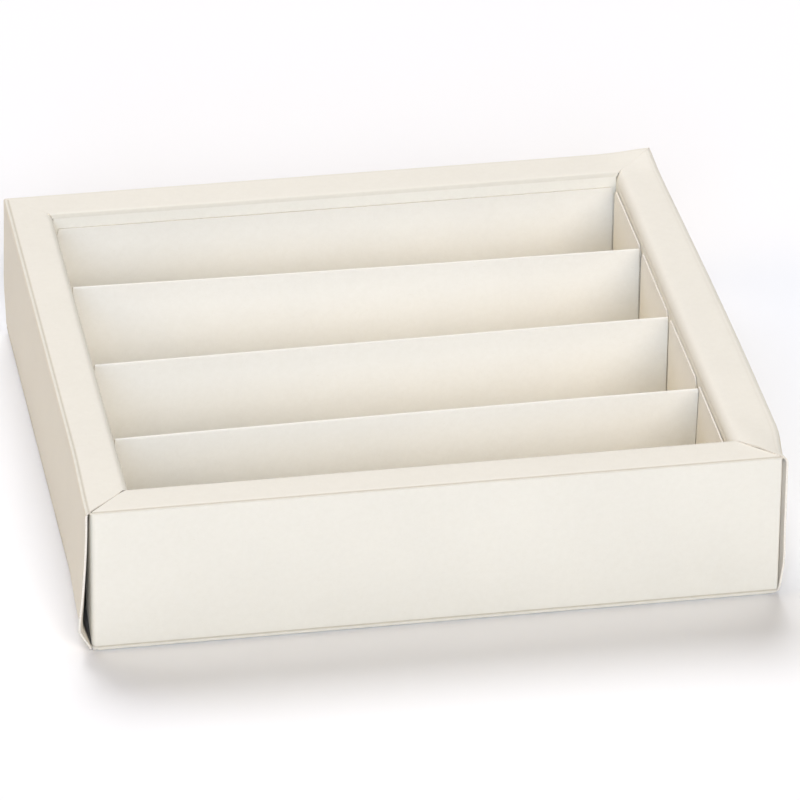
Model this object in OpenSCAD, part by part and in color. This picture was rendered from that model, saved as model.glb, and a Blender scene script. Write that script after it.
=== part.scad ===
// Shallow hollow-wall tray of folded board with a one-piece divider insert that forms four long lanes.
// The tray is one blank: base, outer walls, a mitred frame on top, inner walls and small hidden flaps.
// The insert is a second blank: lane floors, three folded dividers, a front and a rear wall and end flaps.
// Every panel between two creases is a node. The origin is the centre of the base's underside,
// with +X along the lanes, +Y towards the rear and +Z up. All lengths are in millimetres.

/* [Tray] */
// Outside width, along the lanes
tray_w = 150; // [120:1:200]
// Outside depth, across the lanes
tray_d = 143; // [110:1:190]
// Outside height
tray_h = 34; // [28:1:45]
// Width of the flat frame around the opening
frame_w = 10; // [8:0.1:12]
// Thickness of the tray's board
tray_board = 0.45; // [0.3:0.05:0.5]

/* [Divider insert] */
// Thickness of the insert's board
insert_board = 0.4; // [0.3:0.05:0.5]
// Drop from the frame's top face to the insert's top edges
insert_drop = 3.5; // [3:0.5:8]
// Clearance between the insert and the tray's inner walls
insert_gap = 0.3; // [0.2:0.05:0.6]
// Gap between an end flap's side edge and the panel beside it
flap_side_gap = 0.6; // [0.5:0.05:1]
// Gap between a divider's end and the end flaps' faces
divider_end_gap = 0.4; // [0.3:0.05:0.8]
// Corner cut on the top of each end flap
flap_corner = 1.2; // [0.5:0.1:3]

/* [Hidden flaps] */
// Length of a foot flap, as a share of the frame's width
foot_share = 0.5; // [0.3:0.05:0.5]
// How far a dust flap stops short of the frame's inner edge
dust_short = 0.8; // [0.5:0.1:2]
// Gap between the base and a dust flap's lower corner
dust_low_gap = 1.2; // [0.8:0.1:3]
// Gap between a dust flap's upper corner and the top of its wall
dust_high_gap = 1.2; // [1:0.1:3]
// Rise of the angled cut at the lower end of a dust flap
dust_low_cut = 4; // [1:0.5:6]
// Fall of the angled cut at the upper end of a dust flap
dust_high_cut = 1.5; // [1.5:0.5:4]

/* [Motion] */
// Angle through which a frame top can lift about its outer crease
frame_lift = 45; // [20:5:45]

/* [Clearances] */
// Gap left between two panels at a crease
crease_gap = 0.08; // [0.05:0.01:0.1]
// Gap between the insert's floors and the base
floor_gap = 0.15; // [0.12:0.01:0.3]
// Gap between the two plies of a divider
ply_gap = 0.1; // [0.05:0.05:0.3]

/* [Hidden] */

lanes = 4;

// Opening inside the frame
opening_w = tray_w - 2 * frame_w;
opening_d = tray_d - 2 * frame_w;

// Heights in the tray
wall_top = tray_h - tray_board - crease_gap;
foot_z = tray_board + crease_gap;
inner_wall_z = foot_z + tray_board + crease_gap;
foot_len = foot_share * frame_w;

// An inner wall's top edge is bevelled, so that its crease can close as the frame top lifts
closed_angle = 90 - frame_lift;
inner_face_top = tray_h - tray_board / sin(closed_angle) - crease_gap;
inner_back_top = tray_h - tray_board / tan(closed_angle / 2) - crease_gap;

// Dust flaps stand in the square corner columns of the hollow walls
dust_root = tray_board + crease_gap;
dust_tip = frame_w - dust_short;
dust_z = tray_board + dust_low_gap;
dust_top = wall_top - dust_high_gap;

// The insert's outside size and heights
insert_w = opening_w - 2 * insert_gap;
insert_d = opening_d - 2 * insert_gap;
insert_z = tray_board + floor_gap;
insert_top = tray_h - insert_drop;
floor_top = insert_z + insert_board;

// A divider is two plies with a small gap, and the lanes share what is left
divider_t = 2 * insert_board + ply_gap;
lane_clear = (insert_d - 2 * insert_board - (lanes - 1) * divider_t) / lanes;
lane_pitch = lane_clear + divider_t;
divider_len = insert_w - 2 * (insert_board + divider_end_gap);

// Board colours
tray_colour = [0.95, 0.94, 0.91];
tray_inside_colour = [0.93, 0.91, 0.88];
insert_colour = [0.94, 0.92, 0.89];

// Front face of lane n, counted from the front
function lane_front(n) = -insert_d / 2 + insert_board + (n - 1) * lane_pitch;

// Places the children on one side of the tray: x runs along the side and y inward from its outer face
module on_front() {
    translate([0, -tray_d / 2, 0])
        children();
}

module on_rear() {
    rotate([0, 0, 180])
        translate([0, -tray_d / 2, 0])
            children();
}

module on_left() {
    rotate([0, 0, -90])
        translate([0, -tray_w / 2, 0])
            children();
}

module on_right() {
    rotate([0, 0, 90])
        translate([0, -tray_w / 2, 0])
            children();
}

// Flat bottom panel that the tray rests on
module base_panel() {
    base_w = tray_w - 2 * (tray_board + crease_gap);
    base_d = tray_d - 2 * (tray_board + crease_gap);
    color(tray_inside_colour)
        translate([-base_w / 2, -base_d / 2, 0])
            cube([base_w, base_d, tray_board]);
}

// Outer face of a hollow wall
module outer_wall(length) {
    color(tray_colour)
        translate([-length / 2, 0, 0])
            cube([length, tray_board, wall_top]);
}

// Flat top of a hollow wall, mitred at both ends
module frame_top(side_len) {
    outer = side_len / 2 - 1.5 * crease_gap;
    inner = outer - frame_w;
    color(tray_colour)
        translate([0, 0, tray_h - tray_board])
            linear_extrude(tray_board)
                polygon([[-outer, 0], [outer, 0], [inner, frame_w], [-inner, frame_w]]);
}

// Inner face of a hollow wall, beside the insert, with its bevelled top edge
module inner_wall(opening_len) {
    length = opening_len - crease_gap;
    back = frame_w - tray_board;
    color(tray_inside_colour)
        translate([-length / 2, 0, 0])
            rotate([90, 0, 90])
                linear_extrude(length)
                    polygon([[back, inner_wall_z], [frame_w, inner_wall_z],
                             [frame_w, inner_face_top], [back, inner_back_top]]);
}

// Flap at the foot of an inner wall, turned into the hollow and lying on the base
module foot_flap(opening_len) {
    root = opening_len / 2 - crease_gap;
    tip = root - foot_len;
    color(tray_inside_colour)
        translate([0, 0, foot_z])
            linear_extrude(tray_board)
                polygon([[-root, frame_w], [root, frame_w],
                         [tip, frame_w - foot_len], [-tip, frame_w - foot_len]]);
}

// Flap on the right-hand end of a front or rear outer wall, turned into the side's hollow
module dust_flap() {
    color(tray_inside_colour)
        translate([tray_w / 2 - tray_board - crease_gap, 0, 0])
            rotate([90, 0, -90])
                linear_extrude(tray_board)
                    polygon([[-dust_root, dust_z], [-dust_tip, dust_z + dust_low_cut],
                             [-dust_tip, dust_top - dust_high_cut], [-dust_root, dust_top]]);
}

// Floor panel of one lane
module lane_floor(n) {
    color(insert_colour)
        translate([-insert_w / 2, lane_front(n) + crease_gap, insert_z])
            cube([insert_w, lane_clear - 2 * crease_gap, insert_board]);
}

// Upright panel of the insert, from its floors' underside to its top edge, with its front face at y
module insert_upright(y) {
    color(insert_colour)
        translate([-divider_len / 2, y, insert_z])
            cube([divider_len, insert_board, insert_top - insert_z]);
}

// Front wall of the insert, in front of lane 1
module insert_front_wall() {
    insert_upright(-insert_d / 2);
}

// Rear wall of the insert, behind the last lane
module insert_rear_wall() {
    insert_upright(insert_d / 2 - insert_board);
}

// Front ply of the divider behind lane n
module divider_front_ply(n) {
    insert_upright(lane_front(n) + lane_clear);
}

// Rear ply of the divider behind lane n
module divider_rear_ply(n) {
    insert_upright(lane_front(n) + lane_clear + insert_board + ply_gap);
}

// Flap that closes the right-hand end of lane n, standing on the lane's floor
module end_flap(n) {
    half = lane_clear / 2 - flap_side_gap;
    foot = floor_top + crease_gap;
    color(insert_colour)
        translate([insert_w / 2 - insert_board, lane_front(n) + lane_clear / 2, 0])
            rotate([90, 0, 90])
                linear_extrude(insert_board)
                    polygon([[-half, foot], [half, foot],
                             [half, insert_top - flap_corner], [half - flap_corner, insert_top],
                             [flap_corner - half, insert_top], [-half, insert_top - flap_corner]]);
}

// Length of the front and rear outer walls, which stand between the side walls
cross_wall_len = tray_w - 2 * (tray_board + crease_gap);
// Length of the side outer walls, which cover the front and rear walls' end folds
side_wall_len = tray_d - 2 * crease_gap;

base_panel();

on_front() outer_wall(cross_wall_len);  // front_outer_wall
on_rear() outer_wall(cross_wall_len);  // rear_outer_wall
on_left() outer_wall(side_wall_len);  // left_outer_wall
on_right() outer_wall(side_wall_len);  // right_outer_wall

on_front() frame_top(tray_w);  // front_frame_top
on_rear() frame_top(tray_w);  // rear_frame_top
on_left() frame_top(tray_d);  // left_frame_top
on_right() frame_top(tray_d);  // right_frame_top

on_front() inner_wall(opening_w);  // front_inner_wall
on_rear() inner_wall(opening_w);  // rear_inner_wall
on_left() inner_wall(opening_d);  // left_inner_wall
on_right() inner_wall(opening_d);  // right_inner_wall

on_front() foot_flap(opening_w);  // front_foot_flap
on_rear() foot_flap(opening_w);  // rear_foot_flap
on_left() foot_flap(opening_d);  // left_foot_flap
on_right() foot_flap(opening_d);  // right_foot_flap

on_front() mirror([1, 0, 0]) dust_flap();  // front_left_dust_flap
on_front() dust_flap();  // front_right_dust_flap
on_rear() dust_flap();  // rear_left_dust_flap
on_rear() mirror([1, 0, 0]) dust_flap();  // rear_right_dust_flap

lane_floor(1);  // lane_floor_1
lane_floor(2);  // lane_floor_2
lane_floor(3);  // lane_floor_3
lane_floor(4);  // lane_floor_4

insert_front_wall();
insert_rear_wall();

divider_front_ply(1);  // divider_1_front_ply
divider_rear_ply(1);  // divider_1_rear_ply
divider_front_ply(2);  // divider_2_front_ply
divider_rear_ply(2);  // divider_2_rear_ply
divider_front_ply(3);  // divider_3_front_ply
divider_rear_ply(3);  // divider_3_rear_ply

mirror([1, 0, 0]) end_flap(1);  // left_end_flap_1
mirror([1, 0, 0]) end_flap(2);  // left_end_flap_2
mirror([1, 0, 0]) end_flap(3);  // left_end_flap_3
mirror([1, 0, 0]) end_flap(4);  // left_end_flap_4
end_flap(1);  // right_end_flap_1
end_flap(2);  // right_end_flap_2
end_flap(3);  // right_end_flap_3
end_flap(4);  // right_end_flap_4
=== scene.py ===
"""Looks for a divided tray of folded board: bent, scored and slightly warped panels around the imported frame.

Every CAD node is a flat panel. One sheet of board stands for each, with its half of each fold beside it, its
score lines, its rounded cut edges and the small warps that folded board takes.
All shape work is in millimetres and is turned into metres when a mesh is made.
"""

import math
from collections import namedtuple

import bmesh
import bpy
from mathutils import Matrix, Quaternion, Vector, noise


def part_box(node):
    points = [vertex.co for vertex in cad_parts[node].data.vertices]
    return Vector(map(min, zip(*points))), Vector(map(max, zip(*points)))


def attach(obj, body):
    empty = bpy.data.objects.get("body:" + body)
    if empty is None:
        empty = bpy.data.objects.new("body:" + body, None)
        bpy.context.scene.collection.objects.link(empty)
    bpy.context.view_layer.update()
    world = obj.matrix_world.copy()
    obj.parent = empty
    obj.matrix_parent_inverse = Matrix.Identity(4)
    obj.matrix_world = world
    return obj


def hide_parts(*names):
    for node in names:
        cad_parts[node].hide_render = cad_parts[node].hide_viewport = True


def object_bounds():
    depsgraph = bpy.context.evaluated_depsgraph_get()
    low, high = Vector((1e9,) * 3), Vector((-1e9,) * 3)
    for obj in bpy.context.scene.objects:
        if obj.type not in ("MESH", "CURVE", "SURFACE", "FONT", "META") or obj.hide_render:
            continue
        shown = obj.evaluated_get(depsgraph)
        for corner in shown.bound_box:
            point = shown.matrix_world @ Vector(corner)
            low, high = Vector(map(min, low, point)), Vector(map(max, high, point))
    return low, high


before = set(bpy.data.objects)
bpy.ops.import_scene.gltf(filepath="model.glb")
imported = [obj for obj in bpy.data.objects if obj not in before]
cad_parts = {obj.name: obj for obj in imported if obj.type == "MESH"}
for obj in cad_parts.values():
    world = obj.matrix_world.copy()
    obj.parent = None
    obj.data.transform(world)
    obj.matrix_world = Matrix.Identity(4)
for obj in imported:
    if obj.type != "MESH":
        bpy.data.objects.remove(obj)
cad_low, cad_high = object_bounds()

MM = 0.001

# ---------------------------------------------------------------- sizes taken from the frame


def box_mm(node):
    """Lowest and highest corner of a CAD node, in millimetres."""
    low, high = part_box(node)
    return low / MM, high / MM


width = (cad_high.x - cad_low.x) / MM
depth = (cad_high.y - cad_low.y) / MM
height = cad_high.z / MM

base_low, base_high = box_mm("base_panel")
tray_thick = base_high.z - base_low.z
frame_low, frame_high = box_mm("front_frame_top")
frame_w = frame_high.y - frame_low.y
front_low, front_high = box_mm("front_outer_wall")
front_half = (front_high.x - front_low.x) / 2     # half the length of the front and rear walls
side_low, side_high = box_mm("left_outer_wall")
side_half = (side_high.y - side_low.y) / 2        # half the length of the side walls
inner_foot = box_mm("front_inner_wall")[0].z      # height at which an inner wall ends
foot_low, foot_high = box_mm("front_foot_flap")
floor_low, floor_high = box_mm("lane_floor_1")
insert_foot = floor_low.z                         # height of the insert's underside
insert_thick = floor_high.z - insert_foot

# ---------------------------------------------------------------- how the board bends

# outside radii, and by side where they differ round the tray
FOOT_R = 0.9          # folds between the base and the outer walls
TOP_R = {"front": 0.5, "rear": 0.5, "left": 0.75, "right": 1.3}         # where a wall turns into the frame
SHOULDER_R = {"front": 1.7, "rear": 0.9, "left": 1.6, "right": 2.1}     # where the frame turns down inside
CORNER_R = {"front_left": 1.3, "front_right": 0.6, "rear_left": 0.8, "rear_right": 0.8}     # upright corners
RIDGE_R = 0.44        # a divider's ridge, just under half the divider's thickness
LANE_R = 0.08         # inside radius of the folds at the foot of a divider, an end wall or an end flap

SEAM = 0.015          # gap between two panels where one fold is shared between them
RIM = 0.05            # how far a cut edge bulges past its outline
RIM_SHARE = 0.45      # where it bulges most, as a share of the way from the middle of the board to its faces

SCORE_DEPTH = 0.15
SCORE_WIDTH = 0.24    # half width of a score line
# how sharply each frame member is scored
SCORE_SHARE = {"front": 1.0, "rear": 0.1, "left": 0.8, "right": 0.15}
FOOT_SCORE = 0.25     # how far above its foot fold a wall is scored
FRAME_SCORE = 0.14    # how far inside its outer fold a frame member is scored
CLUSTER = 4           # extra rows on each side of a score line
CLUSTER_STEP = SCORE_WIDTH / 2.2
SHORTEST_STEP = 0.03  # rows closer together than this are left out
END_CLEAR = 0.02      # extra rows keep this far from a panel's ends

EIGHTH_STEPS = 5      # steps in half of a tray fold, which is an eighth of a turn

# a point of a folded profile: its place across (u) and up (z), its heading in degrees and the distance run
Station = namedtuple("Station", "u z heading on_bend run")
# a point of a sheet's middle surface, with how deeply it is scored (0 to 1) and whether it is on a bend
Spot = namedtuple("Spot", "centre normal score bend")


def on_arc(centre_u, centre_z, radius, degrees):
    """Point of a circle in a profile's plane."""
    angle = math.radians(degrees)
    return centre_u + radius * math.cos(angle), centre_z + radius * math.sin(angle)


def fold_path(start, heading, *moves):
    """Centre line of a folded profile, as Stations with the heading in degrees and the distance run so far.

    A move is ("line", [distances]) or ("bend", radius, degrees, steps), with a turn to the right negative."""
    u, z = start
    run = 0.0
    path = [Station(u, z, heading, False, run)]
    for move in moves:
        if move[0] == "line":
            last = 0.0
            for distance in move[1]:
                step = distance - last
                u += step * math.cos(math.radians(heading))
                z += step * math.sin(math.radians(heading))
                run += step
                last = distance
                path.append(Station(u, z, heading, False, run))
        else:
            _, radius, degrees, count = move
            chord = 2 * radius * math.sin(math.radians(abs(degrees)) / count / 2)
            path[-1] = path[-1]._replace(on_bend=True)
            for _ in range(count):
                middle = heading + degrees / count / 2
                u += chord * math.cos(math.radians(middle))
                z += chord * math.sin(math.radians(middle))
                heading += degrees / count
                run += chord
                path.append(Station(u, z, heading, True, run))
    return path


def distances(length, step, *close_to):
    """Distances from 0 to length, spaced by step, with a close cluster round each value in close_to."""
    count = max(1, round(length / step))
    found = {round(length * k / count, 4) for k in range(1, count + 1)}
    for centre in close_to:
        for k in range(-CLUSTER, CLUSTER + 1):
            value = centre + k * CLUSTER_STEP
            if END_CLEAR < value < length - END_CLEAR:
                found.add(round(value, 4))
    ordered = sorted(found)
    kept = [ordered[0]]
    for value in ordered[1:]:
        if value - kept[-1] > SHORTEST_STEP:
            kept.append(value)
    kept[-1] = length
    return kept


def left_of(heading):
    """Direction a quarter of a turn to the left of a profile's heading, where the board's face is."""
    angle = math.radians(heading + 90)
    return Vector((0, math.cos(angle), math.sin(angle)))


def bump(value, centre, half_width):
    """1 at the centre, falling smoothly to nothing on both sides."""
    return math.exp(-(((value - centre) / half_width) ** 2))


def smooth(t):
    """Eased step from 0 to 1 as t runs from 0 to 1."""
    t = min(1.0, max(0.0, t))
    return t * t * (3 - 2 * t)


def arch(place, half_length):
    """1 in the middle of a panel, falling to 0 at its two ends."""
    return math.cos(math.pi * min(1.0, abs(place) / half_length) / 2)


RIPPLE_LENGTH = 26.0
RIPPLE_LAYER = 7.3    # how far apart in the noise two panels' ripples are taken


def ripple(x, y, seed, length=RIPPLE_LENGTH):
    """Gentle unevenness of a board panel, between about -1 and 1."""
    return noise.noise(Vector((x / length, y / length, seed * RIPPLE_LAYER)))


# ---------------------------------------------------------------- building one sheet of board

FACE, BACK, EDGE = 0, 1, 2                 # places of the three materials in a sheet
SIDES_CUT = {"col0", "col1"}               # folded at the first and last row, cut at the ends of the rows
LAST_ROW_CUT = SIDES_CUT | {"row1"}
TINY = 1e-9
SMALLEST_PUSH = 1e-6      # below this, the pushes at an outline point cancel out
MERGE_DISTANCE = 1e-7     # metres


def no_move():
    return Vector((0, 0, 0))


def no_warp(p):
    return no_move()


def every_cell(i, j):
    return True


def outline_of(lattice, cells, cut):
    """Edges that belong to one cell only, and the outward direction at each of their points, 0 at a fold."""
    last_row, last_col = len(lattice) - 2, len(lattice[0]) - 2

    def centre(key):
        return lattice[key[1]][key[0]].centre

    outline = []
    outward = {}
    for i, j in cells:
        here, right, across, up = (i, j), (i + 1, j), (i + 1, j + 1), (i, j + 1)
        middle = (centre(here) + centre(right) + centre(up) + centre(across)) / 4
        for a, b, beside, rim, on_rim in (
            (here, right, (i, j - 1), "row0", j == 0),
            (right, across, (i + 1, j), "col1", i == last_col),
            (across, up, (i, j + 1), "row1", j == last_row),
            (up, here, (i - 1, j), "col0", i == 0),
        ):
            if beside in cells:
                continue
            outline.append((a, b))
            away = (centre(b) - centre(a)).cross(lattice[a[1]][a[0]].normal)
            if away.length > TINY:
                away.normalize()
                if away.dot((centre(a) + centre(b)) / 2 - middle) < 0:
                    away = -away
                if on_rim and rim not in cut:
                    away = no_move()
                for key in (a, b):
                    outward[key] = outward.get(key, no_move()) + away
    return outline, outward


def fill_sheet(bm, lattice, thickness, place, cut, warp, keep):
    """Adds a solid sheet's two faces and its rounded cut edges to a mesh under construction."""
    half = thickness / 2
    score_layer = bm.verts.layers.float.new("score")
    bend_layer = bm.verts.layers.float.new("bend")
    made = {}

    def vertex(key, point, score, bend):
        if key not in made:
            made[key] = bm.verts.new(place(point + warp(point)) * MM)
            made[key][score_layer] = score
            made[key][bend_layer] = bend
        return made[key]

    def face_vertex(key, side):
        spot = lattice[key[1]][key[0]]
        score = spot.score if side > 0 else 0.0
        return vertex((*key, side), spot.centre + spot.normal * half * side, score, spot.bend)

    cells = {(i, j) for j in range(len(lattice) - 1) for i in range(len(lattice[0]) - 1) if keep(i, j)}
    for i, j in cells:
        corners = [(i, j), (i + 1, j), (i + 1, j + 1), (i, j + 1)]
        bm.faces.new([face_vertex(key, 1) for key in corners]).material_index = FACE
        bm.faces.new([face_vertex(key, -1) for key in reversed(corners)]).material_index = BACK

    outline, outward = outline_of(lattice, cells, cut)

    def rim_vertex(key, side):
        spot = lattice[key[1]][key[0]]
        push = outward[key]
        if push.length > SMALLEST_PUSH:
            push = push.normalized() * RIM
        point = spot.centre + spot.normal * half * side * RIM_SHARE + push
        return vertex((*key, side * 2), point, 0.0, spot.bend)

    for a, b in outline:
        ring_a = [face_vertex(a, 1), rim_vertex(a, 1), rim_vertex(a, -1), face_vertex(a, -1)]
        ring_b = [face_vertex(b, 1), rim_vertex(b, 1), rim_vertex(b, -1), face_vertex(b, -1)]
        for k in range(3):
            bm.faces.new([ring_b[k], ring_a[k], ring_a[k + 1], ring_b[k + 1]]).material_index = EDGE


def sheet(node, body, slot, lattice, thickness, place, cut, warp=no_warp, keep=every_cell, coat=None):
    """Makes the sheet of board that stands for a CAD node, from a lattice of Spots on its middle surface.

    A Spot's normal points to the face side. place turns panel coordinates into the row frame. cut names the
    lattice's rims (row0, row1, col0, col1) that are cut edges and not folds. keep(i, j) says which cells are
    board. coat is a face material to use in place of the slot's own."""
    bm = bmesh.new()
    fill_sheet(bm, lattice, thickness, place, cut, warp, keep)
    bmesh.ops.remove_doubles(bm, verts=bm.verts, dist=MERGE_DISTANCE)
    bmesh.ops.dissolve_degenerate(bm, edges=bm.edges, dist=MERGE_DISTANCE)
    bmesh.ops.recalc_face_normals(bm, faces=bm.faces)
    for face in bm.faces:
        face.smooth = True
    for edge in bm.edges:
        kinds = {face.material_index for face in edge.link_faces}
        edge.smooth = not (EDGE in kinds and len(kinds) > 1)
    name = f"{node}_board"
    mesh = bpy.data.meshes.new(name)
    bm.to_mesh(mesh)
    bm.free()
    piece = bpy.data.objects.new(name, mesh)
    bpy.context.scene.collection.objects.link(piece)
    own_coat, back, edge = BOARD[slot]
    for material in (coat or own_coat, back, edge):
        mesh.materials.append(material)
    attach(piece, body)
    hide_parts(node)


def columns(count, *extra):
    """Places across a panel as shares from -1 to 1."""
    found = {round(-1 + 2 * k / count, 5) for k in range(count + 1)}
    found.update(extra)
    return sorted(found)


def swept(path, reach, shares, score_at=(), sharpness=1.0):
    """Lattice of a profile carried along x. reach(u, z) is how far a row runs to the low and the high end."""
    lattice = []
    for u, z, heading, on_bend, run in path:
        normal = left_of(heading)
        score = sharpness * max([bump(run, centre, SCORE_WIDTH) for centre in score_at], default=0.0)
        centre = Vector((0, u, z)) - normal * SCORE_DEPTH * score
        low, high = reach(u, z)
        row = []
        for share in shares:
            x = share * (high if share > 0 else low)
            row.append(Spot(Vector((x, centre.y, centre.z)), normal, score, float(on_bend)))
        lattice.append(row)
    return lattice


# ---------------------------------------------------------------- places of the tray's four sides

TURNS = {"front": 0, "right": 90, "rear": 180, "left": -90}
# the corners at the low and the high end of each side
ENDS = {"front": ("front_left", "front_right"), "rear": ("rear_right", "rear_left"),
        "left": ("rear_left", "front_left"), "right": ("front_right", "rear_right")}

CORNER_TIP = 0.8      # how far the rear right corner of the frame stands up
TIP_SPAN = 7.0        # distance from that corner over which it falls away
TIP_FOOT = 8.0        # height at which the walls there begin to stretch
TIP_RISE = 22.0       # height over which they do


def is_side(side):
    return side in ("left", "right")


def length_of(side):
    return depth if is_side(side) else width


def on_side(side):
    """Puts a point given as (along the side, inward from its outer face, up) into the row frame."""
    angle = math.radians(TURNS[side])
    reach = (width if is_side(side) else depth) / 2
    cos, sin = math.cos(angle), math.sin(angle)

    def place(p):
        across = p.y - reach
        x, y = p.x * cos - across * sin, p.x * sin + across * cos
        from_corner = math.hypot(x - width / 2, y - depth / 2)
        tip = CORNER_TIP * bump(from_corner, 0, TIP_SPAN) * smooth((p.z - TIP_FOOT) / TIP_RISE)
        return Vector((x, y, p.z + tip))

    return place


# ---------------------------------------------------------------- materials

# noise scales, in features per metre
DRIFT_SCALE = 38
MOTTLE_SCALE = 780
FIBRE_SCALE = 2600
FLECK_SCALE = 3400
LAYER_SCALE = 2400
TORN_SCALE = 5200

WHITE = (1.0, 1.0, 1.0)
BLACK = (0.0, 0.0, 0.0)
# what a surface's colour is multiplied by where each kind of mark is deepest
MOTTLE_TINT = (0.975, 0.972, 0.966)
FIBRE_TINT = (0.955, 0.95, 0.94)
FLECK_TINT = (0.86, 0.82, 0.74)
# painted shade: the darkening laid in the groove of a score line
SCORE_PAINTED_SHADE_TINT = (0.66, 0.62, 0.56)
TORN_TINT = (0.92, 0.91, 0.89)

MOTTLE_SHARE = 0.8    # how much of the mottle shows
SCORE_PAINTED_SHADE_SHARE = 0.9     # how much of the painted shade in a score line shows
RUB_SHARE = 0.2       # how far a rubbed fold crest goes back to the plain colour
RUB_ROUGH = 0.12      # how much rougher it is
MOTTLE_ROUGH = 0.16   # spread of roughness in the mottle
FACE_SHINE = 0.32
EDGE_SHINE = 0.2
EDGE_ROUGH = 0.82
GRAIN_HEIGHT = 0.00006    # metres
EDGE_RELIEF = 0.5


def new_material(name):
    material = bpy.data.materials.new(name)
    material.use_nodes = True
    nodes, links = material.node_tree.nodes, material.node_tree.links
    shader = nodes["Principled BSDF"]
    coords = nodes.new("ShaderNodeTexCoord")
    return material, nodes, links, shader, coords


def noise_node(nodes, links, coords, scale, detail, stretch=(1, 1, 1), roughness=0.55):
    mapping = nodes.new("ShaderNodeMapping")
    mapping.inputs["Scale"].default_value = stretch
    links.new(coords.outputs["Object"], mapping.inputs["Vector"])
    node = nodes.new("ShaderNodeTexNoise")
    node.inputs["Scale"].default_value = scale
    node.inputs["Detail"].default_value = detail
    node.inputs["Roughness"].default_value = roughness
    links.new(mapping.outputs["Vector"], node.inputs["Vector"])
    return node.outputs["Fac"]


def ramp(nodes, links, value, low, high, colour_low, colour_high):
    node = nodes.new("ShaderNodeValToRGB")
    node.color_ramp.elements[0].position = low
    node.color_ramp.elements[1].position = high
    node.color_ramp.elements[0].color = (*colour_low, 1)
    node.color_ramp.elements[1].color = (*colour_high, 1)
    links.new(value, node.inputs["Fac"])
    return node.outputs["Color"]


def feed(links, socket, value):
    """Gives a node's input a number, a colour or another node's output."""
    if isinstance(value, (int, float)):
        socket.default_value = value
    elif isinstance(value, tuple):
        socket.default_value = (*value, 1)
    else:
        links.new(value, socket)


def maths(nodes, links, operation, a, b):
    node = nodes.new("ShaderNodeMath")
    node.operation = operation
    feed(links, node.inputs[0], a)
    feed(links, node.inputs[1], b)
    return node.outputs[0]


def mix(nodes, links, kind, factor, a, b):
    node = nodes.new("ShaderNodeMix")
    node.data_type = "RGBA"
    node.blend_type = kind
    colour_a, colour_b = node.inputs[6], node.inputs[7]
    feed(links, node.inputs["Factor"], factor)
    feed(links, colour_a, a)
    feed(links, colour_b, b)
    return node.outputs[2]


def attribute(nodes, name):
    node = nodes.new("ShaderNodeAttribute")
    node.attribute_name = name
    return node.outputs["Fac"]


def add_relief(nodes, links, shader, surface, strength):
    lift = nodes.new("ShaderNodeBump")
    lift.inputs["Strength"].default_value = strength
    lift.inputs["Distance"].default_value = GRAIN_HEIGHT
    links.new(surface, lift.inputs["Height"])
    links.new(lift.outputs["Normal"], shader.inputs["Normal"])


def scaled(colour, factor):
    return tuple(channel * factor for channel in colour)


def board_face(name, colour, rough, fibre, specks):
    """Coated or plain board: broad tone drift, fine mottle, fibres, painted shade in scored folds and rubbed
    fold crests.
    """
    material, nodes, links, shader, coords = new_material(name)
    drift = noise_node(nodes, links, coords, DRIFT_SCALE, 3)
    mottle = noise_node(nodes, links, coords, MOTTLE_SCALE, 5)
    fibres = noise_node(nodes, links, coords, FIBRE_SCALE, 6, (1.0, 0.28, 1.0), 0.7)
    fleck = noise_node(nodes, links, coords, FLECK_SCALE, 2, (0.35, 1.0, 1.0))
    base = ramp(nodes, links, drift, 0.3, 0.7, scaled(colour, 0.985), scaled(colour, 1.012))
    tone = ramp(nodes, links, mottle, 0.32, 0.68, MOTTLE_TINT, WHITE)
    base = mix(nodes, links, "MULTIPLY", MOTTLE_SHARE, base, tone)
    grain = ramp(nodes, links, fibres, 0.3, 0.72, FIBRE_TINT, WHITE)
    base = mix(nodes, links, "MULTIPLY", fibre, base, grain)
    speck = ramp(nodes, links, fleck, 0.24, 0.3, FLECK_TINT, WHITE)
    base = mix(nodes, links, "MULTIPLY", specks, base, speck)
    # painted shade darkens the score lines, and the crests of the folds are rubbed back to the plain colour
    shade = maths(nodes, links, "MULTIPLY", attribute(nodes, "score"), SCORE_PAINTED_SHADE_SHARE)
    base = mix(nodes, links, "MULTIPLY", shade, base, SCORE_PAINTED_SHADE_TINT)
    worn = ramp(nodes, links, mottle, 0.46, 0.6, BLACK, WHITE)
    rub = maths(nodes, links, "MULTIPLY", attribute(nodes, "bend"), worn)
    base = mix(nodes, links, "MIX", maths(nodes, links, "MULTIPLY", rub, RUB_SHARE), base, colour)
    links.new(base, shader.inputs["Base Color"])
    mottled = maths(nodes, links, "MULTIPLY", mottle, MOTTLE_ROUGH)
    rough_value = maths(nodes, links, "ADD", mottled, rough - MOTTLE_ROUGH / 2)
    rough_value = maths(nodes, links, "ADD", rough_value, maths(nodes, links, "MULTIPLY", rub, RUB_ROUGH))
    links.new(rough_value, shader.inputs["Roughness"])
    shader.inputs["Specular IOR Level"].default_value = FACE_SHINE
    surface = maths(nodes, links, "ADD", maths(nodes, links, "MULTIPLY", fibres, 0.6 + fibre), mottle)
    add_relief(nodes, links, shader, surface, 0.16 + 0.25 * fibre)
    return material


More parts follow.
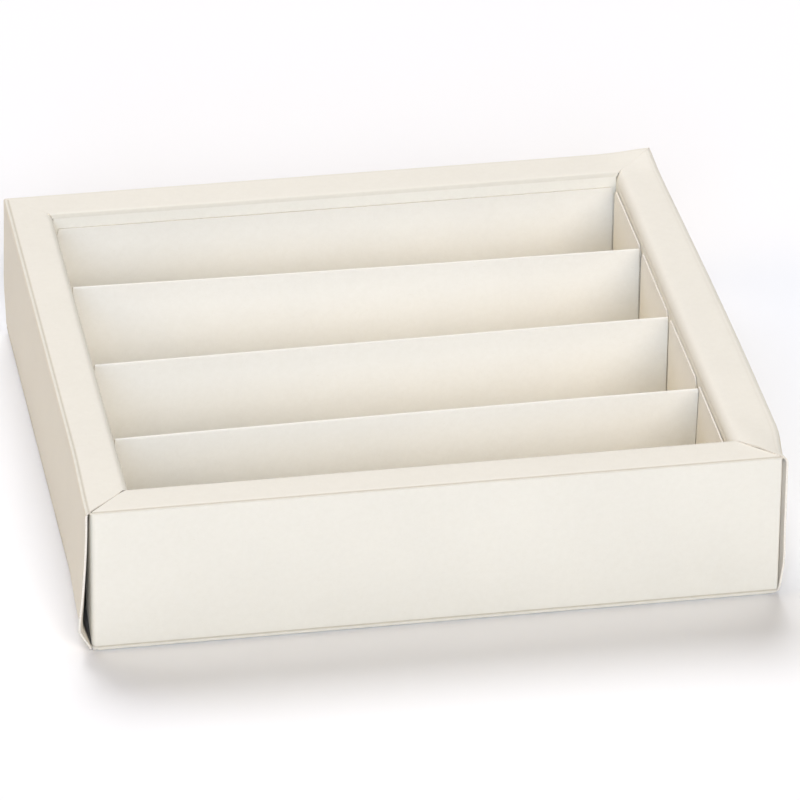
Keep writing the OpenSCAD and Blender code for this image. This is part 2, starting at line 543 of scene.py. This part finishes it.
def cut_edge(name, colour):
    """The raw edge of the board, with its pressed layers and torn fibres."""
    material, nodes, links, shader, coords = new_material(name)
    layers = noise_node(nodes, links, coords, LAYER_SCALE, 4, (0.4, 0.4, 2.6), 0.6)
    fibres = noise_node(nodes, links, coords, TORN_SCALE, 4)
    base = ramp(nodes, links, layers, 0.3, 0.7, scaled(colour, 0.90), scaled(colour, 1.04))
    tone = ramp(nodes, links, fibres, 0.3, 0.7, TORN_TINT, WHITE)
    base = mix(nodes, links, "MULTIPLY", MOTTLE_SHARE, base, tone)
    links.new(base, shader.inputs["Base Color"])
    shader.inputs["Specular IOR Level"].default_value = EDGE_SHINE
    rough_value = maths(nodes, links, "ADD", maths(nodes, links, "MULTIPLY", fibres, 0.1), EDGE_ROUGH)
    links.new(rough_value, shader.inputs["Roughness"])
    add_relief(nodes, links, shader, layers, EDGE_RELIEF)
    return material


TRAY_IVORY = (0.832, 0.808, 0.722)
# darker copy of the tray's own board for the side walls: painted shade
SIDE_SHADED_IVORY = (0.762, 0.715, 0.597)
# lighter copy of the tray's own board for the inner walls and their flaps: painted light
LINING_LIT_IVORY = (0.925, 0.908, 0.835)
INSERT_IVORY = (0.908, 0.890, 0.828)
# lighter copy of the insert's board for the end flaps: painted light
FLAP_LIT_IVORY = (0.965, 0.945, 0.890)
BACK_CREAM = (0.80, 0.755, 0.675)
CORE_CREAM = (0.90, 0.86, 0.78)

tray_face = board_face("tray_coated_board", TRAY_IVORY, rough=0.46, fibre=0.35, specks=0.25)
lit_lining_face = board_face("tray_lining_board_painted_light", LINING_LIT_IVORY, rough=0.52, fibre=0.45, specks=0.3)
insert_face = board_face("insert_coated_board", INSERT_IVORY, rough=0.50, fibre=0.45, specks=0.3)
shaded_side_face = board_face("tray_side_board_painted_shade", SIDE_SHADED_IVORY, rough=0.46, fibre=0.35, specks=0.25)
lit_flap_face = board_face("insert_flap_board_painted_light", FLAP_LIT_IVORY, rough=0.50, fibre=0.45, specks=0.3)
plain_back = board_face("plain_board_back", BACK_CREAM, rough=0.80, fibre=0.9, specks=0.7)
raw_edge = cut_edge("board_cut_edge", CORE_CREAM)

BOARD = {
    "tray_outside": (tray_face, plain_back, raw_edge),
    # the inside of the tray takes the lighter copy of its board, which paints light on the shaded opening
    "tray_inside": (lit_lining_face, plain_back, raw_edge),
    "insert_board": (insert_face, plain_back, raw_edge),
}

# ---------------------------------------------------------------- the tray's outer walls

WALL_ROW = 2.2        # distance between the rows of an outer wall
WALL_BULGE = 0.22     # how far the middle of a wall stands out
WALL_RIPPLE = 0.08

# how the free ends of the side walls stand off their corners: by how much, the height at which they do so
# most, and the length of wall that bends. The last few millimetres of the front ends curl out further.
CURL_LENGTH = 2.2
SPLAYS = {
    "front_left": ((1.7, 6.0, 60.0), (0.75, 6.0, CURL_LENGTH)),
    "rear_left": ((0.35, 14.0, 40.0),),
    "front_right": ((0.3, 9.0, 40.0), (0.45, 9.0, CURL_LENGTH)),
    "rear_right": ((0.3, 10.0, 40.0),),
}
FADE_UP = 1.7         # how fast a splay dies away above its peak
FADE_ALONG = 1.4      # how fast it dies away along the wall

BOW = 1.5             # how far the right side's outer fold bows outward
BOW_RUN = 1.5         # length over which it grows from the rear corner, in half lengths of the side
BOW_POWER = 0.6       # less than 1 makes it grow early
BOW_END = 15.0        # length over which it ends at the front corner
FLARE = 0.75          # how far the last few millimetres turn out again
FLARE_LENGTH = 2.2
LEFT_BOW = 0.35 * BOW     # how far the left side's outer fold stands out at the front corner
LEFT_BOW_LENGTH = 30.0

END_CHAMFER = 0.8         # how much shorter a side wall is at its foot
CHAMFER_HEIGHT = 2.4
SIDE_COLUMNS = 56
CURL_COLUMNS = 6          # columns in the length of a side wall's end that curls
FRONT_COLUMNS = 52
CORNER_STEPS = 8          # steps in a quarter turn round an upright corner
CORNER_ROWS = 3           # rows of the foot fold that are cut away there


def splay(amount, peak, reach, from_end, z):
    """Move of a free wall end: furthest out at the peak height, nothing at its top fold and its foot."""
    if z > peak:
        share = (max(0.0, height - z) / (height - peak)) ** FADE_UP
    else:
        share = smooth(z / peak)
    return -amount * share * (1 - smooth(from_end / reach)) ** FADE_ALONG


def bow(side, x, half_length):
    """How far the outer fold of a side bows outward at a place along it."""
    if side == "right":
        from_front, from_rear = half_length + x, half_length - x
        growth = smooth(from_rear / (BOW_RUN * half_length)) ** BOW_POWER
        return growth * (BOW * smooth(from_front / BOW_END) + FLARE * (1 - smooth(from_front / FLARE_LENGTH)))
    if side == "left":
        return LEFT_BOW * (1 - smooth((half_length - x) / LEFT_BOW_LENGTH))
    return 0.0


def wall_warp(side, half_length):
    def warp(p):
        hold = math.sin(math.pi * min(1.0, max(0.0, p.z / height)))
        inward = WALL_RIPPLE * hold * ripple(p.x, p.z, TURNS[side] / 90)
        inward -= WALL_BULGE * hold * arch(p.x, half_length)
        if is_side(side):
            for corner, from_end in zip(ENDS[side], (half_length + p.x, half_length - p.x)):
                inward += sum(splay(*values, from_end, p.z) for values in SPLAYS[corner])
        inward -= bow(side, p.x, half_length) * smooth(p.z / height)
        return Vector((0, inward, 0))
    return warp


def wall_path(side):
    """Half of the foot fold, the wall and half of the top fold, and the place of the wall's score line."""
    foot_r = FOOT_R - tray_thick / 2
    straight = height - FOOT_R - TOP_R[side]
    path = fold_path(on_arc(FOOT_R, FOOT_R, foot_r, 225), 135,
                     ("bend", foot_r, -45, EIGHTH_STEPS),
                     ("line", distances(straight, WALL_ROW, FOOT_SCORE)),
                     ("bend", TOP_R[side] - tray_thick / 2, -45, EIGHTH_STEPS))
    return path, path[EIGHTH_STEPS].run + FOOT_SCORE


def plain_wall(side):
    """Side wall: it covers the end folds of the front and rear walls and ends in cut edges."""
    path, score_run = wall_path(side)

    def reach(u, z):
        length = side_half - END_CHAMFER * (1 - smooth(z / CHAMFER_HEIGHT))
        return length, length

    curl = [1 - CURL_LENGTH * k / CURL_COLUMNS / side_half for k in range(1, CURL_COLUMNS)]
    lattice = swept(path, reach, columns(SIDE_COLUMNS, *curl, *(-share for share in curl)), [score_run])
    # the side walls are coated with a darker copy of the tray's board, which paints shade on them
    sheet(f"{side}_outer_wall", f"{side}_wall", "tray_outside", lattice, tray_thick, on_side(side), SIDES_CUT,
          wall_warp(side, side_half), coat=shaded_side_face)


def wrapped_wall(side):
    """Front or rear wall: its ends turn round the tray's upright corners, where the dust flaps take over."""
    path, score_run = wall_path(side)
    low_r, high_r = (CORNER_R[corner] for corner in ENDS[side])
    last = FRONT_COLUMNS + CORNER_STEPS
    lattice = []
    for u, z, heading, on_bend, run in path:
        score = bump(run, score_run, SCORE_WIDTH)
        rise = left_of(heading)
        inset = u - SCORE_DEPTH * rise.y * score
        row = []
        for k in range(-CORNER_STEPS, last + 1):
            along = min(FRONT_COLUMNS, max(0, k)) / FRONT_COLUMNS
            x = (low_r - front_half) * (1 - along) + (front_half - high_r) * along
            end, outer_r = (-1, low_r) if k < 0 else (1, high_r)
            turn = math.radians(90) * max(0, -k, k - FRONT_COLUMNS) / CORNER_STEPS
            radius = outer_r - inset
            centre = Vector((x + end * radius * math.sin(turn), outer_r - radius * math.cos(turn), z))
            normal = Vector((-end * rise.y * math.sin(turn), rise.y * math.cos(turn), rise.z))
            row.append(Spot(centre, normal, score, 1.0 if on_bend or turn > 0 else 0.0))
        lattice.append(row)

    def keep(i, j):
        on_corner = i < CORNER_STEPS or i >= last
        return not (on_corner and j < CORNER_ROWS)

    sheet(f"{side}_outer_wall", f"{side}_wall", "tray_outside", lattice, tray_thick, on_side(side), SIDES_CUT,
          wall_warp(side, front_half), keep)


# ---------------------------------------------------------------- the tray's frame, linings and flaps

FRAME_ROW = 1.1       # distance between the rows of a frame member
FRAME_COLUMNS = 64
SHOULDER_STEPS = 10   # steps in the quarter turn of an inner shoulder
FRAME_SAG = 0.12      # how far the inner edge of a frame member sags in its middle
FRAME_RIPPLE = 0.05
BOW_FADE = 1.4        # how fast the outer fold's bow dies away across a member

LIFT = 0.42           # how far the right frame member's front end rises at its mitre
LIFT_LENGTH = 16.0
LIFT_RISE = 2.2       # how fast it rises across the member
LIFT_FALL = 0.75      # share of it that is gone again at the member's inner edge

# how far each end of a frame member stops short of the mitre line, and how much further at the small hole
# near the mitre's inner end
MITRE_GAP = {"front_left": 0.15, "front_right": 0.04, "rear_left": 0.025, "rear_right": 0.03}
MITRE_HOLE = {"front_left": 0.34, "front_right": 0.12, "rear_left": 0.08, "rear_right": 0.08}
HOLE_INSET = 1.35     # distance of that hole from the member's inner edge
HOLE_WIDTH = 0.5

# how far the inner folds bow into the opening
LINING_BOW = {"front": 0.2, "rear": 0.2, "left": 0.0, "right": 0.2}
LINING_ROW = 2.4
LINING_COLUMNS = 40
LINING_GAP = 0.06     # gap between two linings in a corner of the opening
BOW_FOOT = 0.35       # height at which a lining begins to bow, as a share of the tray's
BOW_RISE = 0.6        # height over which it does
BEVEL = 0.3           # how far the back of a lining is bevelled at its top, to follow the shoulder's fold
BEVEL_HEIGHT = 2.0

FOOT_ROW = 1.2
FOOT_COLUMNS = 24
FOOT_BEND = 0.06      # inside radius of a foot flap's fold
FOOT_GAP = 0.08

DUST_ROWS, DUST_COLUMNS = 14, 8
DUST_CUT_LOW = 4.0    # how far a dust flap's lower edge rises towards its tip
DUST_CUT_HIGH = 1.5   # how far its upper edge falls


def frame_member(side):
    """Top of a hollow wall: half of the outer fold, a score line, the flat and the soft shoulder inside."""
    length = length_of(side)
    top_r, shoulder_r = TOP_R[side], SHOULDER_R[side]
    fold_r = top_r - tray_thick / 2
    flat = frame_w - top_r - shoulder_r
    path = fold_path(on_arc(top_r, height - top_r, fold_r, 135), 45,
                     ("bend", fold_r, -45, EIGHTH_STEPS),
                     ("line", distances(flat, FRAME_ROW, FRAME_SCORE)),
                     ("bend", shoulder_r - tray_thick / 2, -90, SHOULDER_STEPS))
    score_run = path[EIGHTH_STEPS].run + FRAME_SCORE

    def reach(u, z):
        hole = bump(u, frame_w - HOLE_INSET, HOLE_WIDTH)
        return [length / 2 - u - MITRE_GAP[corner] - MITRE_HOLE[corner] * hole for corner in ENDS[side]]

    def warp(p):
        middle = arch(p.x, length / 2)
        across = min(1.0, max(0.0, p.y / frame_w))
        rise = -FRAME_SAG * middle * across
        rise += FRAME_RIPPLE * ripple(p.x, p.y, 3 + TURNS[side] / 90) * across
        if side == "right":
            near_end = 1 - smooth((length / 2 + p.x - p.y) / LIFT_LENGTH)
            falling = 1 - LIFT_FALL * smooth((across - 0.5) * 2)
            rise += LIFT * near_end * smooth(across * LIFT_RISE) * falling
        inward = LINING_BOW[side] * middle * across
        inward -= bow(side, p.x, length / 2) * (1 - smooth(across * BOW_FADE))
        return Vector((0, inward, rise))

    lattice = swept(path, reach, columns(FRAME_COLUMNS), [score_run], SCORE_SHARE[side])
    sheet(f"{side}_frame_top", f"{side}_frame", "tray_outside", lattice, tray_thick, on_side(side), SIDES_CUT,
          warp)


def lining(side):
    """Inner wall of a hollow side, from just under the frame's shoulder to its foot."""
    length = length_of(side)
    top = height - SHOULDER_R[side] - SEAM
    path = fold_path((frame_w - tray_thick / 2, top), -90, ("line", distances(top - inner_foot, LINING_ROW)))
    half_length = length / 2 - frame_w - LINING_GAP

    def warp(p):
        share = smooth((p.z - height * BOW_FOOT) / (height * BOW_RISE))
        back = smooth((frame_w - p.y) / tray_thick)
        bevel = BEVEL * back * smooth((p.z - top + BEVEL_HEIGHT) / BEVEL_HEIGHT)
        return Vector((0, LINING_BOW[side] * arch(p.x, length / 2) * share, -bevel))

    lattice = swept(path, lambda u, z: (half_length, half_length), columns(LINING_COLUMNS))
    sheet(f"{side}_inner_wall", f"{side}_inner", "tray_inside", lattice, tray_thick, on_side(side), SIDES_CUT,
          warp)


def foot(side):
    """Flap turned into the hollow at the foot of an inner wall."""
    bend_r = tray_thick / 2 + FOOT_BEND
    flap_z = (foot_low.z + foot_high.z) / 2
    root_z = min(flap_z + bend_r, inner_foot - SEAM)
    flat = foot_high.y - foot_low.y - tray_thick / 2 - bend_r
    path = fold_path((frame_w - tray_thick / 2, root_z), -90,
                     ("bend", bend_r, -90, EIGHTH_STEPS),
                     ("line", distances(flat, FOOT_ROW)))

    def reach(u, z):
        half_length = length_of(side) / 2 - frame_w - FOOT_GAP - max(0.0, frame_w - u)
        return half_length, half_length

    lattice = swept(path, reach, columns(FOOT_COLUMNS))
    sheet(f"{side}_foot_flap", f"{side}_inner", "tray_inside", lattice, tray_thick, on_side(side),
          LAST_ROW_CUT)


def dust_flap(side, hand):
    """Small flap at the end of the front or rear wall, standing inside the side's hollow wall."""
    node = f"{side}_{hand}_dust_flap"
    low, high = box_mm(node)
    facing = 1 if (hand == "right") == (side == "front") else -1
    root = CORNER_R[f"{side}_{hand}"] + SEAM
    tip = depth / 2 - min(abs(low.y), abs(high.y))
    x = facing * (abs(low.x) + abs(high.x)) / 2
    lattice = []
    for j in range(DUST_ROWS + 1):
        row = []
        for i in range(DUST_COLUMNS + 1):
            out = i / DUST_COLUMNS
            bottom = low.z + DUST_CUT_LOW * out
            top = high.z - DUST_CUT_HIGH * out
            centre = Vector((x, root + (tip - root) * out, bottom + (top - bottom) * j / DUST_ROWS))
            row.append(Spot(centre, Vector((facing, 0, 0)), 0.0, 0.0))
        lattice.append(row)
    sheet(node, f"{side}_{hand}_dust", "tray_inside", lattice, tray_thick, on_side(side),
          {"row0", "row1", "col1"})


# ---------------------------------------------------------------- flat panels: the base and the lane floors

NOTCH = 1.6           # how far the base's folds stop short of its corners
BASE_STEP = 4.0       # distance between the columns and rows of the base
LANE_NOTCH = 1.2
LANE_STEP = 3.2
LIP_STEPS = 4         # steps in an edge that turns up
NOTCH_SHARE = 0.999   # keeps a column just inside a notch's edge


def turned_up(value, half, radius, thickness):
    """Place, rise and tilt of a point on a panel whose edges turn up by an eighth of a turn."""
    flat = half - radius
    if abs(value) <= flat:
        return value, 0.0, 0.0
    sign = 1 if value > 0 else -1
    angle = (abs(value) - flat) / radius * math.radians(45)
    centre_r = radius - thickness / 2
    place = sign * (flat + centre_r * math.sin(angle))
    return place, centre_r * (1 - math.cos(angle)), sign * angle


def pan_places(half, radius, step, notch):
    """Places of a pan's columns or rows: even on the flat, close together in the edges that turn up."""
    flat = half - radius
    count = max(2, round(2 * flat / step))
    notch_edge = flat - notch + radius * NOTCH_SHARE
    inner = {-flat + 2 * flat * k / count for k in range(count + 1)} | {notch_edge, -notch_edge}
    lip = [flat + radius * k / LIP_STEPS for k in range(1, LIP_STEPS + 1)]
    return [-value for value in reversed(lip)] + sorted(inner) + lip


def pan(node, body, slot, low, high, radius, thickness, face_up, step, notch):
    """Flat panel whose four edges turn up into the folds beside it, without the corner squares."""
    centre = (low + high) / 2
    half_x, half_y = (high.x - low.x) / 2, (high.y - low.y) / 2
    xs, ys = pan_places(half_x, radius, step, notch), pan_places(half_y, radius, step, notch)
    lattice = []
    for y in ys:
        row = []
        for x in xs:
            px, rise_x, tilt_x = turned_up(x, half_x, radius, thickness)
            py, rise_y, tilt_y = turned_up(y, half_y, radius, thickness)
            down = Vector((math.sin(tilt_x), math.sin(tilt_y), -math.cos(tilt_x) * math.cos(tilt_y)))
            down.normalize()
            point = Vector((centre.x + px, centre.y + py, low.z + thickness / 2 + rise_x + rise_y))
            row.append(Spot(point, -down if face_up else down, 0.0, 1.0 if tilt_x or tilt_y else 0.0))
        lattice.append(row)

    def keep(i, j):
        x = abs(xs[i] + xs[i + 1]) / 2
        y = abs(ys[j] + ys[j + 1]) / 2
        beside_x = x > half_x - radius and y > half_y - notch
        beside_y = y > half_y - radius and x > half_x - notch
        return not (beside_x or beside_y)

    sheet(node, body, slot, lattice, thickness, lambda p: p, set(), keep=keep)


def base():
    low = Vector((-width / 2, -depth / 2, 0))
    high = Vector((width / 2, depth / 2, 0))
    pan("base_panel", "base", "tray_outside", low, high, FOOT_R, tray_thick, face_up=False, step=BASE_STEP,
        notch=NOTCH + FOOT_R)


def lane_floor(n):
    node = f"lane_floor_{n}"
    low, high = box_mm(node)
    pan(node, "insert", "insert_board", low, high, insert_thick + LANE_R, insert_thick, face_up=True,
        step=LANE_STEP, notch=LANE_NOTCH)


# ---------------------------------------------------------------- the insert's upright panels

UPRIGHT_ROW = 1.8     # distance between the rows of an upright panel
UPRIGHT_COLUMNS = 60
UPRIGHT_CORNER = 0.5  # radius of its two top corners
END_REACH = 0.31      # how much further than the CAD panel it reaches towards the end flaps
FOLD_STEPS = 3        # steps in half of its foot fold
RIDGE_STEPS = 7       # steps in half of a divider's ridge

# how far each divider's ridge leans to the rear at its left and right end, and bows between them
DIVIDER_SWAY = {1: (-4.1, -2.5), 2: (-2.05, -0.7), 3: (3.3, 0.8)}
DIVIDER_BEND = {1: 0.35, 2: 0.1, 3: -0.35}
STRAIGHT_LEAN = 0.35  # share of a lean that grows evenly with height, and the rest grows with its square
RIDGE_DROP = 0.05     # how far a ridge sinks for each millimetre that it leans
RIDGE_RIPPLE = 0.10
RIDGE_RIPPLE_LENGTH = 34.0

# clearance between the insert and the inner walls
INSERT_GAP = box_mm("insert_front_wall")[0].y + depth / 2 - frame_w
TOUCH_GAP = 0.02      # what is left of it where an end wall springs out against its inner wall
END_RIPPLE = 0.05
END_RIPPLE_LENGTH = 30.0

FLAP_COLUMNS = 18
FLAP_CORNER = 1.2     # height of the cut corners of an end flap
CORNER_SLOPE = 0.85   # their width for each millimetre of height
FLAP_EASE = 0.06      # how far a flap stands out from its fold line, to clear the floor when folded in
FLAP_REACH = 0.38     # how much wider flaps 3 and 4 are towards the panel behind them
FLAP_TAPER = 0.0135   # how fast that shrinks with height, so that a folded flap clears a leaning panel
FLAP_NARROWING = 0.005    # how fast flaps 1 and 2 get narrower there
REACH_FOOT = 1.0      # height at which flaps 3 and 4 begin to widen
REACH_RISE = 6.0      # height over which they do
LEFT_FLAP_LEAN = 0.22     # how far the left flaps lean out against their inner wall
FLAP_TWIST = 0.12     # how far a flap's top edge tips up at one end and down at the other
FLAP_RIPPLE = 0.03
FLAP_RIPPLE_LENGTH = 15.0
FLAP_RIPPLE_STEP = 40     # how far apart in the noise two flaps are taken


def share_up(z, top, foot_z):
    """Height of a point as a share of its panel's height."""
    return max(0.0, (z - foot_z) / (top - foot_z))


def upright_path(top, ridge):
    """Panel of the insert from its foot fold to its top, seen from its lane: u runs away from the lane."""
    bend_r = LANE_R + insert_thick / 2
    fold_z = insert_foot + insert_thick + LANE_R
    straight = top - (RIDGE_R if ridge else 0) - fold_z
    moves = [("bend", bend_r, 45, FOLD_STEPS), ("line", distances(straight, UPRIGHT_ROW))]
    if ridge:
        moves.append(("bend", RIDGE_R - insert_thick / 2, -90, RIDGE_STEPS))
    return fold_path(on_arc(-LANE_R, fold_z, bend_r, -45), 45, *moves)


def upright(node, body, face_y, lane_side, top, half_length, ridge, warp):
    """Divider ply or end wall. lane_side is -1 when its lane is in front of it and 1 when it is behind."""

    def reach(u, z):
        above = max(0.0, z - (top - UPRIGHT_CORNER))
        row_half = half_length - UPRIGHT_CORNER + math.sqrt(max(0.0, UPRIGHT_CORNER ** 2 - above ** 2))
        return row_half, row_half

    def place(p):
        return Vector((p.x, face_y - lane_side * p.y, p.z))

    def local_warp(p):
        move = warp(place(p))
        return Vector((move.x, -lane_side * move.y, move.z))

    lattice = swept(upright_path(top, ridge), reach, columns(UPRIGHT_COLUMNS))
    sheet(node, body, "insert_board", lattice, insert_thick, place, SIDES_CUT if ridge else LAST_ROW_CUT,
          local_warp)


def divider_ply(n, ply, lane_side):
    """Half of a divider, with its half of the ridge and the lean that both plies share."""
    node = f"divider_{n}_{ply}_ply"
    low, high = box_mm(node)
    half_length = (high.x - low.x) / 2 + END_REACH
    left, right = DIVIDER_SWAY[n]

    def warp(p):
        up = max(0.0, (p.z - insert_foot - insert_thick) / (high.z - insert_foot))
        along = 0.5 + 0.5 * p.x / half_length
        lean = left + (right - left) * along + DIVIDER_BEND[n] * math.sin(math.pi * along)
        lean += RIDGE_RIPPLE * ripple(p.x, 5.0 * n, 11, RIDGE_RIPPLE_LENGTH)
        curve = STRAIGHT_LEAN * up + (1 - STRAIGHT_LEAN) * up * up
        return Vector((0, lean * curve, -abs(lean) * RIDGE_DROP * up))

    face_y = low.y if ply == "front" else high.y
    upright(node, f"divider_{n}", face_y, lane_side, high.z, half_length, True, warp)


def end_wall(side, lane_side):
    """Front or rear wall of the insert, which springs out against the tray's inner wall."""
    node = f"insert_{side}_wall"
    low, high = box_mm(node)
    half_length = (high.x - low.x) / 2 + END_REACH

    def warp(p):
        up = share_up(p.z, high.z, low.z)
        spring = INSERT_GAP - TOUCH_GAP - LINING_BOW[side] * arch(p.x, half_length)
        rise = END_RIPPLE * ripple(p.x, 3.0, 17, END_RIPPLE_LENGTH)
        return Vector((0, -lane_side * spring * up, rise * up))

    face_y = high.y if side == "front" else low.y
    upright(node, f"insert_{side}", face_y, lane_side, high.z, half_length, False, warp)


def end_flap(hand, n):
    """Flap that closes the end of a lane, with cut corners and a slight lean towards the tray's wall."""
    node = f"{hand}_end_flap_{n}"
    low, high = box_mm(node)
    sign = 1 if hand == "right" else -1
    half = (high.y - low.y) / 2
    middle = (high.y + low.y) / 2
    face_x = min(abs(low.x), abs(high.x))

    def reach(u, z):
        row_half = half - max(0.0, z - (high.z - FLAP_CORNER)) * CORNER_SLOPE
        above = z - insert_foot
        if n > 2:
            wider = smooth((above - REACH_FOOT) / REACH_RISE) * (FLAP_REACH - FLAP_TAPER * above)
        else:
            wider = -FLAP_NARROWING * above
        return row_half, row_half + wider

    def place(p):
        return Vector((sign * (face_x + FLAP_EASE + p.y), middle + p.x, p.z))

    def warp(p):
        up = share_up(p.z, high.z, insert_foot)
        out = FLAP_RIPPLE * ripple(p.x + FLAP_RIPPLE_STEP * n, p.z, sign * 5, FLAP_RIPPLE_LENGTH)
        if hand == "left":
            out += LEFT_FLAP_LEAN
        twist = FLAP_TWIST * p.x / half * (1 if n % 2 else -1)
        return Vector((0, out * up, twist * up))

    lattice = swept(upright_path(high.z, False), reach, columns(FLAP_COLUMNS))
    # the flaps are coated with a lighter copy of the insert's board, which paints light on them
    sheet(node, f"{hand}_flap_{n}", "insert_board", lattice, insert_thick, place, LAST_ROW_CUT, warp,
          coat=lit_flap_face)


for side in TURNS:
    if is_side(side):
        plain_wall(side)
    else:
        wrapped_wall(side)
        for hand in ("left", "right"):
            dust_flap(side, hand)
    frame_member(side)
    lining(side)
    foot(side)
base()
for n in (1, 2, 3, 4):
    lane_floor(n)
for n in (1, 2, 3):
    divider_ply(n, "front", -1)
    divider_ply(n, "rear", 1)
end_wall("front", 1)
end_wall("rear", -1)
for hand in ("left", "right"):
    for n in (1, 2, 3, 4):
        end_flap(hand, n)

# ---------------------------------------------------------------- floor, light and camera

FLOOR_DROP = 0.45     # how far the floor lies below the base's edges, as if the base bowed down a little
FLOOR_HALF = 6.0      # metres
FLOOR_CELLS = 8
FLOOR_SCALE = 6       # of its broad tone drift, in features per metre
FLOOR_TONES = ((0.955, 0.965, 0.98), (0.965, 0.975, 0.99))

WORLD_COLOUR = WHITE
WORLD_STRENGTH = 0.01
SOFTBOX_SPREAD = 30   # degrees
# name, degrees round from straight in front, degrees above the floor, strength and colour
SOFTBOXES = (
    ("front_softbox", -12, 23, 1.34, (0.68, 0.80, 1.0)),
    ("front_right_softbox", 22, 33, 1.27, (1.0, 0.90, 0.80)),
    ("left_softbox", -80, 30, 0.60, (1.0, 0.72, 0.36)),
    ("back_softbox", 180, 55, 2.12, (0.985, 0.98, 1.0)),
    ("back_left_softbox", -145, 35, 0.48, (0.82, 0.83, 1.0)),
)

VIEW_AZIMUTH = -10.1      # degrees round from straight in front
VIEW_ELEVATION = 29.7     # degrees above the floor
VIEW_ROLL = 0.49          # degrees
VIEW_DISTANCE = 10.556    # in tray widths
AIM = (0.0277, 0, 0.0953)     # point that the camera looks at, in tray widths
LENS = 321.5              # millimetres, on a sensor 36 mm wide
SENSOR = 36.0
CLIP_NEAR, CLIP_FAR = 0.05, 20    # metres


def direction(azimuth, elevation):
    """Unit vector away from the object, given in degrees round from its front and above the floor."""
    turn, rise = math.radians(azimuth), math.radians(elevation)
    return Vector((math.sin(turn) * math.cos(rise), -math.cos(turn) * math.cos(rise), math.sin(rise)))


def floor():
    mesh = bpy.data.meshes.new("stage_floor")
    bm = bmesh.new()
    bmesh.ops.create_grid(bm, x_segments=FLOOR_CELLS, y_segments=FLOOR_CELLS, size=FLOOR_HALF)
    bm.to_mesh(mesh)
    bm.free()
    plane = bpy.data.objects.new("stage_floor", mesh)
    plane.location.z = -FLOOR_DROP * MM
    bpy.context.scene.collection.objects.link(plane)
    material, nodes, links, shader, coords = new_material("stage_paper")
    drift = noise_node(nodes, links, coords, FLOOR_SCALE, 2)
    links.new(ramp(nodes, links, drift, 0.3, 0.7, *FLOOR_TONES), shader.inputs["Base Color"])
    shader.inputs["Roughness"].default_value = 0.9
    shader.inputs["Specular IOR Level"].default_value = 0.1
    mesh.materials.append(material)


def softbox(name, azimuth, elevation, strength, colour):
    """A broad soft light far away."""
    data = bpy.data.lights.new(name, "SUN")
    data.energy = strength
    data.color = colour
    data.angle = math.radians(SOFTBOX_SPREAD)
    light = bpy.data.objects.new(name, data)
    back = direction(azimuth, elevation)
    light.rotation_mode = "QUATERNION"
    light.rotation_quaternion = back.to_track_quat("Z", "Y")
    light.location = back
    bpy.context.scene.collection.objects.link(light)


def lights():
    world = bpy.data.worlds.new("soft_studio")
    world.use_nodes = True
    background = world.node_tree.nodes["Background"]
    background.inputs["Color"].default_value = (*WORLD_COLOUR, 1)
    background.inputs["Strength"].default_value = WORLD_STRENGTH
    bpy.context.scene.world = world
    for values in SOFTBOXES:
        softbox(*values)


def camera():
    data = bpy.data.cameras.new("photo_view")
    data.lens = LENS
    data.sensor_width = SENSOR
    data.clip_start, data.clip_end = CLIP_NEAR, CLIP_FAR
    eye = bpy.data.objects.new("photo_view", data)
    back = direction(VIEW_AZIMUTH, VIEW_ELEVATION)
    span = width * MM
    eye.location = (Vector(AIM) + back * VIEW_DISTANCE) * span
    eye.rotation_mode = "QUATERNION"
    eye.rotation_quaternion = back.to_track_quat("Z", "Y") @ Quaternion((0, 0, 1), math.radians(VIEW_ROLL))
    bpy.context.scene.collection.objects.link(eye)
    bpy.context.scene.camera = eye


floor()
lights()
camera()
bpy.context.scene.view_settings.view_transform = "Standard"
